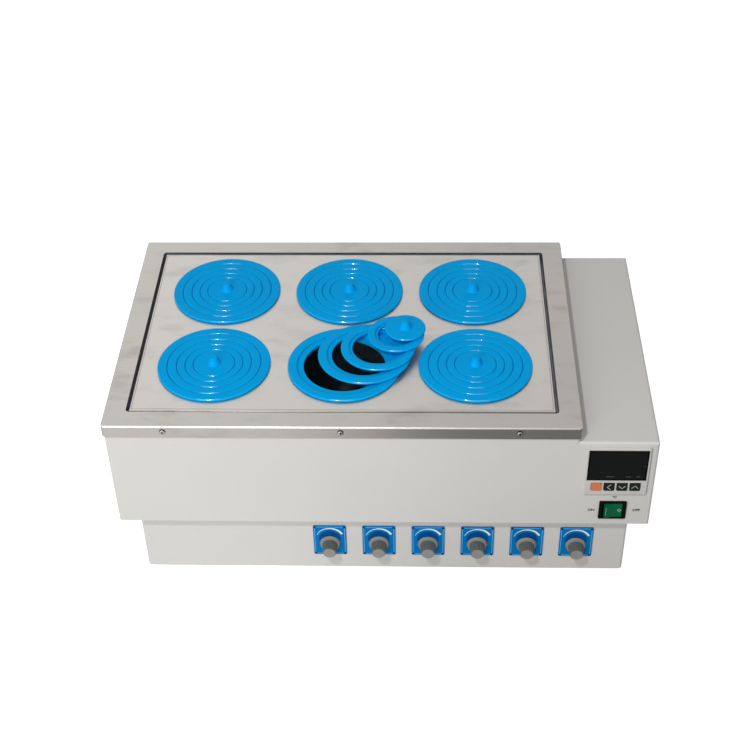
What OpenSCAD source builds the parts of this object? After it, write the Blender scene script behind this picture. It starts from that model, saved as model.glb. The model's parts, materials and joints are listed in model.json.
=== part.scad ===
// Six-place laboratory water bath with stirring, in millimetres.
// A stainless tank hangs in a painted sheet-metal housing, over a base that holds the stirring coils.
// Each place on the lid plate is closed by a nest of flat rings with a knobbed cap in the middle.
// X runs to the right, Y to the back and Z up. The origin is under the middle, on the table.

/* [Upper housing] */
// Width of the upper housing
housing_w = 620; // [590:1:680]
// Depth of the upper housing
housing_d = 355; // [340:1:400]
// Height of the upper housing at the control box
housing_h = 128; // [118:1:150]
// Width of the raised deck that carries the tank
deck_w = 531.4; // [515:0.2:560]
// Height of the tank deck over the control box top
deck_rise = 20.6; // [17:0.2:26]
// Thickness of the housing sheet
sheet_t = 1.5; // [1:0.1:2]
// Outside radius of the folded edges
edge_r = 3; // [2.5:0.1:5]
// Width of the flanges where the two housings meet
return_w = 15; // [10:1:20]

/* [Base] */
// Height of the base with its bottom plate
base_h = 91; // [84:0.5:110]
// How far each side of the base stands in from the upper housing
base_inset_x = 21.8; // [15:0.2:30]
// How far the front and the back of the base stand in
base_inset_y = 12; // [8:0.5:20]
// Thickness of the bottom plate
bottom_t = 1.5; // [1:0.1:3]
// Height of the rubber feet
foot_h = 8.5; // [6:0.5:16]
// Diameter of a foot at the plate
foot_d = 30; // [24:1:40]
// Distance from a foot's middle to the sides of the base
foot_inset = 48; // [40:1:60]

/* [Rim frame] */
// Thickness of the stainless rim
rim_t = 1.2; // [0.8:0.1:2]
// Height of the rim's outer skirt
rim_skirt_h = 16; // [12:0.5:20]
// Gap between the skirt and the deck's sides
rim_gap = 0.9; // [0.5:0.1:2]
// Width of the rim around the opening
rim_border = 24.8; // [22:0.2:30]
// Outside radius of the fold between the rim and its skirt
rim_fold_r = 2.5; // [2.2:0.1:4]
// Corner radius of the opening
opening_r = 4; // [3:0.5:8]
// Diameter of the rim screws' heads
screw_head_d = 7; // [5:0.5:9]
// Spacing of the rim screws
screw_pitch = 198.3; // [170:0.1:215]

/* [Tank] */
// Depth of the tank from the rim's top to its floor
tank_depth = 140; // [125:1:144]
// Thickness of the tank's sheet
tank_t = 1.2; // [0.8:0.1:1.6]
// Corner radius of the tank
tank_r = 20; // [10:1:30]
// Width of the tank's top flange under the rim
tank_flange_w = 12; // [8:0.5:15]
// Depth of the well that the lid plate sits in
well_depth = 12; // [9:0.5:15]
// Width of the ledge that carries the lid plate
ledge_w = 8; // [6:0.5:12]
// Thickness of the insulation around the tank
insulation_t = 18; // [10:1:20]

/* [Lid plate] */
// How far the lid plate lies under the rim's top
lid_drop = 0.6; // [0.5:0.1:3]
// Thickness of the lid plate
lid_t = 1.2; // [0.8:0.1:2]
// Gap at the lid plate's two ends
lid_gap_x = 2.5; // [1:0.1:4]
// Gap at the lid plate's front and back
lid_gap_y = 2.2; // [0.6:0.1:3]
// Outside radius of the lid plate's folded edges
lid_fold_r = 3; // [2.4:0.1:3.6]
// How much wider the border beside the places is than the room between them
place_border = 5; // [0:0.5:12]
// Spacing of the places from front to back
place_pitch_y = 143; // [138:0.5:150]

/* [Lid rings] */
// Diameter of the middle cap
cap_d = 48; // [44:0.5:52]
// Width of the innermost ring's rim
ring_4_w = 9.2; // [8:0.1:10]
// Width of the third ring's rim
ring_3_w = 9.7; // [8.5:0.1:10.5]
// Width of the second ring's rim
ring_2_w = 10.7; // [9.5:0.1:12]
// Width of the outermost ring's rim
ring_1_w = 11.2; // [10:0.1:12.5]
// Ledge inside the outermost ring
seat_1_w = 7.2; // [5:0.1:8.5]
// Ledge inside the second ring
seat_2_w = 5.4; // [4:0.1:7]
// Ledge inside the third ring
seat_3_w = 3.8; // [3:0.1:6]
// Ledge inside the innermost ring
seat_4_w = 2.8; // [2:0.1:4]
// How far the outermost ring laps over the lid plate
plate_lap = 5.8; // [4:0.1:8]
// Thickness of the outermost ring above the lid plate
outer_rim_t = 3.5; // [2.8:0.1:5]
// Thickness of the other rims, and depth of the ledges
ring_t = 2.2; // [1.6:0.1:2.6]
// Height of the spigots under the rims
spigot_h = 2.2; // [1.5:0.1:3.5]
// Gap between nested rings
ring_gap = 0.3; // [0.3:0.05:0.6]
// Radius of the rims' rounded edges
ring_edge_r = 1.5; // [0.4:0.1:1.8]
// Diameter of a cap's knob at its top
cap_knob_d = 10; // [8:0.5:16]
// Diameter of a cap's knob at its foot
cap_foot_d = 16; // [14:0.5:22]
// Height of a cap's knob
cap_knob_h = 9; // [6:0.5:12]

/* [Set aside] */
// Second ring of the open place, moved to the right
aside_2_x = 23.1; // [20:0.1:24]
// Second ring of the open place, moved to the back
aside_2_y = 13.7; // [12:0.1:15]
// Third ring, moved to the right of the second
aside_3_x = 15.5; // [14:0.1:16]
// Third ring, moved behind the second
aside_3_y = 7.5; // [6:0.1:9]
// Innermost ring, moved to the right of the third
aside_4_x = 20.7; // [19:0.1:21]
// Innermost ring, moved behind the third
aside_4_y = 18.4; // [17:0.1:20]
// Cap, moved to the right of the innermost ring
aside_cap_x = 10.9; // [9:0.1:12]
// Cap, moved behind the innermost ring
aside_cap_y = 6; // [5:0.1:7]

/* [Heater and probe] */
// Diameter of the heating tube
heater_d = 9; // [7:0.5:11]
// Distance between the heater's two legs
heater_pitch = 26; // [22:1:34]
// Height of the heater's middle over the tank floor
heater_lift = 13; // [10:0.5:18]
// Distance from the heater's turn to the tank's left wall
heater_end = 50; // [30:1:140]
// Diameter of the temperature probe
probe_d = 6; // [4:0.5:8]
// Length of the probe in the tank
probe_len = 70; // [40:1:100]
// Length of the tails of the heater and the probe outside the tank
tail_len = 26; // [20:1:34]
// Height of the probe over the tank floor
probe_lift = 45; // [38:1:70]

/* [Stirring coils] */
// Diameter of a coil pack's yoke
yoke_d = 84; // [70:1:100]
// Diameter of one coil
coil_d = 28; // [22:1:29]
// Height of one coil
coil_h = 24; // [16:1:34]
// Circle on which a pack's four coils stand
coil_circle_d = 48; // [44:1:54]

/* [Drain] */
// Outside diameter of the drain pipe
drain_d = 16; // [13:0.5:20]
// Bore of the drain pipe
drain_bore = 9; // [7:0.5:10]
// Diameter of the hose nozzle
nozzle_d = 13; // [12:0.5:16]
// Height of the nozzle over the base's bottom edge
nozzle_z = 53.5; // [44:0.5:56]
// Distance of the drain from the tank's left wall
drain_inset = 30; // [26:1:36]

/* [Speed dials] */
// Number of speed dials along the base
dial_count = 6; // [1:1:6]
// Spacing of the dials
dial_pitch = 58.7; // [50:0.1:62]
// Distance from the last dial to the housing's right side
dial_last_x = 80.3; // [60:0.1:90]
// Height of the dial plates' middle over the base's bottom edge
dial_z = 48; // [40:0.5:55]
// Width of a dial plate
dial_w = 39.4; // [32:0.2:46]
// Height of a dial plate
dial_h = 48.5; // [40:0.5:54]
// Thickness of a dial plate
dial_t = 1.2; // [0.8:0.1:2]
// How far a spindle lies under the middle of its plate
spindle_drop = 5; // [0:0.5:8]
// Diameter of a spindle
spindle_d = 6; // [4:0.5:6.5]
// Diameter of a knob's skirt
knob_skirt_d = 24.4; // [22:0.2:30]
// Thickness of a knob's skirt
knob_skirt_t = 2.6; // [2:0.1:4]
// Diameter of a knob's grip at the skirt
knob_grip_d = 18.6; // [16:0.2:21]
// Diameter of a knob's flat front
knob_front_d = 16; // [12:0.2:16]
// Length of a knob from skirt to front
knob_len = 16.5; // [12:0.5:22]
// Number of flutes round a knob
knob_flutes = 16; // [8:2:20]

/* [Controller] */
// Width and height of the controller's bezel
bezel_w = 72; // [70:0.5:76]
// How far the bezel stands out of the housing
bezel_t = 3; // [2.5:0.1:8]
// Radius of the bezel's front edges
bezel_edge_r = 1.5; // [0.5:0.1:2]
// Distance from the controller's middle to the housing's right side
control_x = 44.2; // [42:0.1:52]
// Least distance from the controller's case to the insulation
control_gap = 20; // [12:1:26]
// Height of the controller over the housing's lower edge
control_z = 85.8; // [82:0.1:87]
// Depth of the controller behind the panel
control_depth = 78; // [60:1:110]
// Width of the display window
window_w = 67; // [60:0.2:68]
// Height of the display window
window_h = 45.9; // [40:0.1:46.5]
// Distance from the bezel's top to the window
window_top = 3; // [2.5:0.1:5]
// Thickness of the display window
window_t = 1.6; // [1:0.1:2.2]
// Width of a key
key_w = 11.9; // [10:0.1:13]
// Height of a key
key_h = 11.3; // [9:0.1:12]
// Spacing of the keys
key_pitch = 14.6; // [14:0.1:16]
// Distance from the bezel's bottom to the keys
key_bottom = 7.8; // [5:0.1:8]
// Travel of a key
key_travel = 0.8; // [0.4:0.1:1.2]
// How far a key stands out of the bezel
key_out = 1; // [0.9:0.1:1.6]

/* [Power switch] */
// Width of the switch's frame
switch_w = 31.4; // [29:0.2:36]
// Height of the switch's frame
switch_h = 27.2; // [25:0.2:32]
// Height of the switch's middle over the housing's lower edge
switch_z = 23.8; // [22:0.1:26]
// Thickness of the switch's frame
switch_t = 2; // [1.5:0.1:3]
// Width of the rocker
rocker_w = 20.3; // [18:0.1:21]
// Height of the rocker
rocker_h = 21; // [18:0.1:21.5]
// Angle between the rocker's two positions
rocker_swing = 18; // [10:1:20]

/* [Power inlet] */
// Width of the inlet's flange
inlet_w = 50; // [46:0.5:54]
// Height of the inlet's flange
inlet_h = 28; // [26:0.5:34]
// Width of the inlet's socket
socket_w = 24.8; // [23:0.1:26]
// Height of the inlet's socket
socket_h = 16.8; // [15:0.1:18]
// Depth of the inlet's socket
socket_depth = 17; // [15:0.5:20]
// Distance between the inlet's two screw holes
inlet_screw_pitch = 40; // [38:0.5:44]
// Height of the inlet over the housing's lower edge
inlet_z = 40; // [30:1:60]

/* [Hidden] */
$fn = 48;
eps = 0.01;
// Gap between pieces that pass through each other
pass_gap = 0.3;

// Levels, from the table up
z_base = foot_h;
z_body = foot_h + base_h;
z_box = z_body + housing_h;
z_deck = z_box + deck_rise;
z_rim = z_deck + tank_t + rim_t;
z_ledge = z_rim - well_depth;
z_floor = z_rim - tank_depth;
z_lid = z_rim - lid_drop;
z_ring = z_lid + outer_rim_t;

// Outlines: left, front, right and back
left = -housing_w / 2;
right = housing_w / 2;
rim_out = rim_gap + rim_t;
rim_box = [left - rim_out, -rim_out, left + deck_w + rim_out, housing_d + rim_out];
control_mid = right - control_x;
case_w = bezel_w - 5;
// The tank fills the deck, but keeps its distance from the controller
tank_wall = tank_t + pass_gap + insulation_t;
control_side = control_mid - case_w / 2 - control_gap - tank_wall + ledge_w;
opening_right = min(rim_box[2] - rim_border, control_side);
opening = [rim_box[0] + rim_border, rim_box[1] + rim_border, opening_right, rim_box[3] - rim_border];
tank_in = grow(opening, -ledge_w);
tank_room = grow(tank_in, tank_t + 2 * pass_gap);
base_box = [left + base_inset_x, base_inset_y, right - base_inset_x, housing_d - base_inset_y];
places_mid = [(opening[0] + opening[2]) / 2, (opening[1] + opening[3]) / 2];

// Reach of the whole object, which sets the origin
screw_head_h = 1.8;
knob_gap = 0.4;
knob_front_y = base_inset_y - dial_t - knob_gap - knob_len;
reach = [rim_box[0], knob_front_y, right, rim_box[3] + screw_head_h];
origin = [(reach[0] + reach[2]) / 2, (reach[1] + reach[3]) / 2, 0];

// Radii of the lid rings, from the outermost to the cap
cap_r = cap_d / 2;
r4 = cap_r + ring_gap + ring_4_w;
r3 = r4 + ring_gap + ring_3_w;
r2 = r3 + ring_gap + ring_2_w;
r1 = r2 + ring_gap + ring_1_w;
place_room = (opening[2] - opening[0] - 6 * r1 - 2 * place_border) / 4;
place_pitch_x = 2 * r1 + place_room;
ring_r = [r1, r2, r3, r4, cap_r];
// The rounded edges leave some upright wall under them
least_wall = 0.4;
lid_round = min(ring_edge_r, ring_t - least_wall);
seat_w = [seat_1_w, seat_2_w, seat_3_w, seat_4_w];
bore_r = [for (k = [0:3]) ring_r[k + 1] + ring_gap - seat_w[k]];
place_hole_r = r1 - plate_lap;

// The six places, and the one that stands open
places = ["front_left", "front_middle", "front_right", "back_left", "back_middle", "back_right"];
open_place = "front_middle";
aside_steps = [
    [aside_2_x, aside_2_y],
    [aside_3_x, aside_3_y],
    [aside_4_x, aside_4_y],
    [aside_cap_x, aside_cap_y]];
stack_step = ring_t + spigot_h;

// Speed dials
dial_back_y = base_inset_y;
spindle_z = z_base + dial_z - spindle_drop;
bushing_d = spindle_d + 4;
bushing_len = 6.5;
pot_d = 24;
pot_len = 12;
knob_cap_t = 0.8;

// Controller
bezel_bottom = z_body + control_z - bezel_w / 2;
key_z = bezel_bottom + key_bottom + key_h / 2;
window_z = bezel_bottom + bezel_w - window_top - window_h / 2;
key_gap = 0.4;
key_depth = 2.4;

// Switch
rocker_axis_y = 3;
rocker_gap = 0.5;
rocker_pin_d = 3;
rocker_pin_len = 1.6;
switch_body_w = switch_w - 4;
switch_body_h = switch_h - 3;
switch_depth = 22;

// Drain
bend_r = drain_d;
drain_x = tank_in[0] + drain_inset;
drain_y = places_mid[1];

dial_names = [for (n = [1:dial_count]) str("speed_knob_", n)];
ring_names = [for (p = places) for (k = [1:4]) str(p, "_ring_", k)];
cap_names = [for (p = places) str(p, "_cap")];
key_names = ["set_key", "shift_key", "down_key", "up_key"];

// Moves an outline's four sides outwards
function grow(box, by) = [box[0] - by, box[1] - by, box[2] + by, box[3] + by];

// Middle of a place on the lid plate
function place_at(p) =
    let (i = search([p], places)[0])
    places_mid + [(i % 3 - 1) * place_pitch_x, (floor(i / 3) - 0.5) * place_pitch_y];

// Where piece k of a place's nest lies, from 0 for the outermost ring
function aside(k) = k == 0 ? [0, 0] : aside(k - 1) + aside_steps[k - 1];
function nest_at(p, k) = concat(
    place_at(p) + (p == open_place ? aside(k) : [0, 0]),
    z_ring + (p == open_place ? k * stack_step : 0));

// Middle of dial n, from 1 on the left
function dial_at(n) = right - dial_last_x - (dial_count - n) * dial_pitch;

// Middle of key i, from 0 on the left
function key_at(i) = control_mid + (i - 1.5) * key_pitch;

// Rounded rectangle over an outline
module plan(box, r) {
    translate([box[0] + r, box[1]]) square([box[2] - box[0] - 2 * r, box[3] - box[1]]);
    translate([box[0], box[1] + r]) square([box[2] - box[0], box[3] - box[1] - 2 * r]);
    for (x = [box[0] + r, box[2] - r]) {
        for (y = [box[1] + r, box[3] - r]) {
            translate([x, y]) circle(r);
        }
    }
}

// Straight walls over an outline
module prism(box, r, z0, z1) {
    translate([0, 0, z0]) linear_extrude(z1 - z0) plan(box, r);
}

// Section with two rounded top corners
module arch(a, b, z0, z1, r) {
    translate([a, z0]) square([b - a, z1 - z0 - r]);
    translate([a + r, z0]) square([b - a - 2 * r, z1 - z0]);
    for (x = [a + r, b - r]) translate([x, z1 - r]) circle(r);
}

// Folded sheet box: upright edges of radius r and top edges of radius top_r
module folded_box(box, r, top_r, z0, z1) {
    intersection() {
        prism(box, r, z0, z1);
        translate([0, box[3] + 1, 0])
            rotate([90, 0, 0])
            linear_extrude(box[3] - box[1] + 2) arch(box[0], box[2], z0, z1, top_r);
        translate([box[0] - 1, 0, 0])
            rotate([90, 0, 90])
            linear_extrude(box[2] - box[0] + 2) arch(box[1], box[3], z0, z1, top_r);
    }
}

// Cylinder that lies along Y, from y0 to y1
module along_y(d, x, z, y0, y1) {
    translate([x, y1, z]) rotate([90, 0, 0]) cylinder(d = d, h = y1 - y0);
}

// Cylinder that lies along X, from x0 to x1
module along_x(d, y, z, x0, x1) {
    translate([x0, y, z]) rotate([0, 90, 0]) cylinder(d = d, h = x1 - x0);
}

// Block between two faces in Y, centred on x and z
module panel_block(w, h, x, z, y0, y1) {
    translate([x - w / 2, y0, z - h / 2]) cube([w, y1 - y0, h]);
}

// Slot with round ends, length along the first axis
module slot(length, width) {
    square([length - width, width], center = true);
    for (s = [-1, 1]) translate([s * (length - width) / 2, 0]) circle(d = width);
}

// Outlines of the housing and of its hollow
body_box = [left, 0, right, housing_d];
deck_box = [left, 0, left + deck_w, housing_d];
screw_d = 4;
screw_z = z_rim - rim_skirt_h / 2;
screw_xs = [for (i = [-1:1]) places_mid[0] + i * screw_pitch];
vent_w = 4;
vent_pitch = 11;
side_vent_len = 102;
side_vent_rows = 6;
side_vent_z = 30;
side_vent_back = 142;
side_vent_y = housing_d - side_vent_back;
floor_vent_len = 56;

module housing_form(inset) {
    r = edge_r - inset / 2;
    union() {
        folded_box(grow(body_box, -inset), r, r, z_body + inset, z_box - inset);
        folded_box(grow(deck_box, -inset), r, r, z_body + inset, z_deck - inset);
    }
}

module upper_housing() {
    mouth = tank_t + pass_gap;
    flange_step = 3;
    case_hole = case_w + 2 * pass_gap;
    color("gainsboro")
    difference() {
        housing_form(0);
        housing_form(sheet_t);
        // Mouth for the tank, and the way down into the base
        prism(grow(opening, mouth), opening_r + mouth, z_deck - 2 * sheet_t, z_deck + 1);
        prism(grow(base_box, -return_w - flange_step), edge_r, z_body - 1, z_body + sheet_t + 1);
        prism(tank_room, tank_r + tank_t, z_floor - tank_t - pass_gap, z_ledge);
        // Cut-outs for the controller, the switch and the inlet
        panel_block(case_hole, case_hole, control_mid, z_body + control_z, -1, sheet_t + 1);
        panel_block(switch_body_w + 2 * pass_gap, switch_body_h + 2 * pass_gap,
                    control_mid, z_body + switch_z, -1, sheet_t + 1);
        panel_block(socket_w + 4 + 2 * pass_gap, socket_h + 4 + 2 * pass_gap,
                    control_mid, z_body + inlet_z, housing_d - sheet_t - 1, housing_d + 1);
        // Louvre slots in the control box's right side
        for (i = [0:side_vent_rows - 1]) {
            translate([right - sheet_t - 1, side_vent_y, z_body + side_vent_z + i * vent_pitch])
                rotate([90, 0, 90]) linear_extrude(sheet_t + 2) slot(side_vent_len, vent_w);
        }
        screw_holes(-1, sheet_t + 1);
        screw_holes(housing_d - sheet_t - 1, housing_d + 1);
    }
}

module screw_holes(y0, y1) {
    for (x = screw_xs) along_y(screw_d + 2 * pass_gap, x, screw_z, y0, y1);
}

module base_housing() {
    z0 = z_base + bottom_t;
    color("gainsboro")
    difference() {
        prism(base_box, edge_r, z0, z_body);
        prism(grow(base_box, -sheet_t), edge_r - sheet_t / 2, z0 + sheet_t, z_body - sheet_t);
        prism(grow(base_box, -return_w), edge_r, z0 - 1, z_body + 1);
        prism(tank_room, tank_r + tank_t, z_floor - tank_t - pass_gap, z_ledge);
        bushing_holes(dial_back_y - 1, dial_back_y + sheet_t + 1);
        along_x(drain_d + 2 * pass_gap, drain_y, z_base + nozzle_z,
                base_box[0] - 1, base_box[0] + sheet_t + 1);
    }
}

module bushing_holes(y0, y1) {
    for (n = [1:dial_count]) along_y(bushing_d + 2 * pass_gap, dial_at(n), spindle_z, y0, y1);
}

module bottom_plate() {
    color("silver")
    difference() {
        prism(grow(base_box, -1), edge_r, z_base, z_base + bottom_t);
        for (p = places) {
            for (i = [-2, -1, 1, 2]) {
                translate(concat(place_at(p) + [0, i * vent_pitch + sign(i) * yoke_d / 4], z_base - 1))
                    linear_extrude(bottom_t + 2) slot(floor_vent_len, vent_w);
            }
        }
    }
}

module rubber_feet() {
    feet = grow(base_box, -foot_inset);
    color("dimgray")
    for (x = [feet[0], feet[2]]) {
        for (y = [feet[1], feet[3]]) {
            translate([x, y, 0])
            difference() {
                cylinder(d1 = foot_d - 5, d2 = foot_d, h = foot_h);
                translate([0, 0, -1]) cylinder(d = foot_d / 3, h = foot_h / 2 + 1);
            }
        }
    }
}

module rim_frame() {
    z0 = z_rim - rim_skirt_h;
    corner_r = edge_r + rim_out;
    color("lightgray")
    difference() {
        folded_box(rim_box, corner_r, rim_fold_r, z0, z_rim);
        folded_box(grow(rim_box, -rim_t), corner_r - rim_t, rim_fold_r - rim_t, z0 - 1, z_rim - rim_t);
        prism(opening, opening_r, z0, z_rim + 1);
        screw_holes(rim_box[1] - 1, rim_box[1] + rim_t + 1);
        screw_holes(rim_box[3] - rim_t - 1, rim_box[3] + 1);
    }
}

// Pan-head screw with its head's seat at y = 0 and its shank along +Y
module rim_screw() {
    dome_r = screw_head_d;
    rotate([-90, 0, 0]) {
        cylinder(d = screw_d, h = rim_out + sheet_t + 2);
        intersection() {
            translate([0, 0, -screw_head_h]) cylinder(d = screw_head_d, h = screw_head_h);
            translate([0, 0, dome_r - screw_head_h]) sphere(dome_r);
        }
    }
}

module rim_screws() {
    color("silver")
    for (x = screw_xs) {
        translate([x, rim_box[1], screw_z]) rim_screw();
        translate([x, rim_box[3], screw_z]) mirror([0, 1, 0]) rim_screw();
    }
}

// Passages through the tank's right wall: y, height over the floor and diameter
probe_y = places_mid[1] + place_pitch_y / 2;
heater_ys = [for (s = [-1, 1]) places_mid[1] + s * heater_pitch / 2];
wall_ports = concat(
    [for (y = heater_ys) [y, heater_lift, heater_d]],
    [[probe_y, probe_lift, probe_d]]);

// The tank is welded from two bands of sheet, and from a flange, a ledge and a floor that lie flat
module tank_flange() {
    difference() {
        prism(grow(opening, tank_t + tank_flange_w), opening_r + tank_t, z_deck, z_deck + tank_t);
        prism(opening, opening_r, z_deck - 1, z_rim);
    }
}

module tank_upper_band() {
    difference() {
        prism(grow(opening, tank_t), opening_r + tank_t, z_ledge, z_deck);
        prism(opening, opening_r, z_ledge - 1, z_rim);
    }
}

module tank_ledge() {
    difference() {
        prism(grow(opening, tank_t), opening_r + tank_t, z_ledge - tank_t, z_ledge);
        prism(tank_in, tank_r, z_ledge - tank_t - 1, z_ledge + 1);
    }
}

module tank_lower_band() {
    difference() {
        prism(grow(tank_in, tank_t), tank_r + tank_t, z_floor, z_ledge - tank_t);
        prism(tank_in, tank_r, z_floor - 1, z_ledge);
        for (w = wall_ports) {
            along_x(w[2] + 2 * pass_gap, w[0], z_floor + w[1], tank_in[2] - 1, tank_in[2] + tank_t + 1);
        }
    }
}

module tank_floor() {
    difference() {
        prism(grow(tank_in, tank_t), tank_r + tank_t, z_floor - tank_t, z_floor);
        translate([drain_x, drain_y, z_floor - tank_t - 1])
            cylinder(d = drain_d + 2 * pass_gap, h = tank_t + 2);
    }
}

module tank_plates() {
    color("lightgray") {
        tank_flange();
        tank_ledge();
        tank_floor();
    }
}

module tank_walls() {
    color("lightgray") {
        tank_upper_band();
        tank_lower_band();
    }
}

module tank_insulation() {
    skin = grow(tank_in, tank_t + pass_gap);
    nut_room = 26;
    z0 = max(z_floor - tank_t, z_body + sheet_t + pass_gap);
    z1 = z_ledge - tank_t - pass_gap;
    heater_room = [insulation_t + 2, heater_pitch + nut_room, z_floor + heater_lift + nut_room / 2 - z0 + 1];
    color("khaki")
    difference() {
        prism(grow(skin, insulation_t), tank_r + tank_t + insulation_t, z0, z1);
        prism(skin, tank_r + tank_t + pass_gap, z0 - 1, z_ledge);
        // Room for the glands of the heater and the probe
        translate([skin[2] - 1, places_mid[1] - heater_room[1] / 2, z0 - 1]) cube(heater_room);
        along_x(nut_room, probe_y, z_floor + probe_lift, skin[2] - 1, skin[2] + insulation_t + 1);
    }
}

// Hexagon gland outside the tank's right wall
gland_t = 6;
hex_out = 9;
module gland(d, y, z) {
    translate([tank_in[2] + tank_t, y, z])
        rotate([0, 90, 0]) cylinder(d = d + hex_out, h = gland_t, $fn = 6);
}

module heating_element() {
    z = z_floor + heater_lift;
    turn_x = tank_in[0] + heater_end;
    heater_len = tank_in[2] - turn_x;
    saddle_t = 4;
    saddle_out = 3;
    saddle = [saddle_t, heater_pitch + heater_d + 2 * saddle_out, heater_lift];
    color("slategray")
    union() {
        for (y = heater_ys) {
            along_x(heater_d, y, z, turn_x, tank_in[2] + tank_t + tail_len);
            gland(heater_d, y, z);
        }
        translate([turn_x, places_mid[1], z])
            rotate([0, 0, 90])
            rotate_extrude(angle = 180) translate([heater_pitch / 2, 0]) circle(d = heater_d);
        for (s = [0.05, 0.5, 0.95]) {
            translate([turn_x + s * heater_len, places_mid[1] - saddle[1] / 2, z_floor]) cube(saddle);
        }
    }
}

module temperature_probe() {
    z = z_floor + probe_lift;
    tip_x = tank_in[2] - probe_len;
    color("silver")
    union() {
        translate([tip_x, probe_y, z]) sphere(d = probe_d);
        along_x(probe_d, probe_y, z, tip_x, tank_in[2] + tank_t + tail_len);
        gland(probe_d, probe_y, z);
    }
}

module heater_and_probe() {
    heating_element();
    temperature_probe();
}

// One stirring drive: four coils on a yoke, on a pillar from the bottom plate
module coil_pack() {
    top = z_floor - tank_t - pass_gap;
    yoke_t = 4;
    core_h = 2;
    foot = z_base + bottom_t;
    yoke_z = top - core_h - coil_h - yoke_t;
    translate([0, 0, foot]) cylinder(d = yoke_d / 2, h = 3);
    translate([0, 0, foot]) cylinder(d = yoke_d / 5, h = yoke_z - foot + eps);
    translate([0, 0, yoke_z]) cylinder(d = yoke_d, h = yoke_t);
    for (a = [45:90:315]) {
        rotate([0, 0, a]) translate([coil_circle_d / 2, 0, yoke_z + yoke_t]) {
            cylinder(d = coil_d, h = coil_h);
            cylinder(d = coil_d / 2, h = coil_h + core_h);
        }
    }
}

module stirring_coils() {
    color("peru")
    for (p = places) translate(concat(place_at(p), 0)) coil_pack();
}

module drain_outlet() {
    z = z_base + nozzle_z;
    elbow_x = drain_x - bend_r;
    wall_x = base_box[0];
    collar_t = 3;
    collar_out = 5;
    nut_t = 4;
    tip_in = 1;
    tip_x = rim_box[0] + tip_in;
    chamfer = 1.5;
    top_z = z_floor - tank_t;
    color("silver")
    difference() {
        union() {
            translate([drain_x, drain_y, z + bend_r]) cylinder(d = drain_d, h = z_floor - z - bend_r);
            translate([drain_x, drain_y, top_z - collar_t])
                cylinder(d = drain_d + 2 * collar_out, h = collar_t);
            translate([elbow_x, drain_y, z + bend_r])
                rotate([90, 0, 0])
                rotate([0, 0, -90]) rotate_extrude(angle = 90) translate([bend_r, 0]) circle(d = drain_d);
            along_x(drain_d, drain_y, z, wall_x - nut_t, elbow_x);
            translate([wall_x - nut_t, drain_y, z])
                rotate([0, 90, 0]) cylinder(d = drain_d + hex_out, h = nut_t, $fn = 6);
            along_x(nozzle_d, drain_y, z, tip_x + chamfer, wall_x);
            translate([tip_x, drain_y, z])
                rotate([0, 90, 0]) cylinder(d1 = nozzle_d - 2 * chamfer, d2 = nozzle_d, h = chamfer);
        }
        translate([drain_x, drain_y, z + bend_r]) cylinder(d = drain_bore, h = z_floor - z);
        translate([elbow_x, drain_y, z + bend_r])
            rotate([90, 0, 0])
            rotate([0, 0, -90]) rotate_extrude(angle = 90) translate([bend_r, 0]) circle(d = drain_bore);
        along_x(drain_bore, drain_y, z, tip_x - 1, elbow_x);
    }
}

module dial_plates() {
    plate = [-dial_w / 2, -dial_h / 2, dial_w / 2, dial_h / 2];
    corner_r = 2;
    color("royalblue")
    difference() {
        for (n = [1:dial_count]) {
            translate([dial_at(n), dial_back_y, z_base + dial_z])
                rotate([90, 0, 0]) linear_extrude(dial_t) plan(plate, corner_r);
        }
        bushing_holes(dial_back_y - dial_t - 1, dial_back_y + 1);
    }
}

// Rotary controls behind the base's front, with bushings that guide the spindles
module speed_controls() {
    inside_y = base_inset_y + sheet_t;
    color("darkslategray")
    for (n = [1:dial_count]) {
        difference() {
            union() {
                along_y(pot_d, dial_at(n), spindle_z, inside_y, inside_y + pot_len);
                along_y(bushing_d, dial_at(n), spindle_z, inside_y - sheet_t - dial_t, inside_y + 1);
            }
            along_y(spindle_d + 2 * pass_gap, dial_at(n), spindle_z, dial_back_y - dial_t - 1,
                    inside_y + bushing_len + 1);
        }
    }
}

// Fluted knob with its spindle, front towards -Y
module speed_knob(n) {
    back_y = base_inset_y - dial_t - knob_gap;
    grip_len = knob_len - knob_skirt_t - knob_cap_t;
    flute_share = 0.55;
    flute_out = 0.22;
    flute_d = PI * knob_grip_d / knob_flutes * flute_share;
    lean = atan((knob_grip_d - knob_front_d) / 2 / grip_len);
    spindle_len = base_inset_y + sheet_t + bushing_len - back_y;
    color("gray")
    translate([dial_at(n), back_y, spindle_z])
    rotate([90, 0, 0])
    difference() {
        union() {
            translate([0, 0, -spindle_len]) cylinder(d = spindle_d, h = spindle_len + 1);
            cylinder(d1 = knob_skirt_d, d2 = knob_skirt_d - 2, h = knob_skirt_t);
            translate([0, 0, knob_skirt_t]) cylinder(d1 = knob_grip_d, d2 = knob_front_d, h = grip_len);
            translate([0, 0, knob_skirt_t]) cylinder(d = knob_front_d - 1.4, h = grip_len + knob_cap_t);
        }
        for (i = [0:knob_flutes - 1]) {
            rotate([0, 0, i * 360 / knob_flutes])
                translate([knob_grip_d / 2 + flute_d * flute_out, 0, knob_skirt_t])
                rotate([0, -lean, 0]) cylinder(d = flute_d, h = knob_len, $fn = 16);
        }
    }
}

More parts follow.
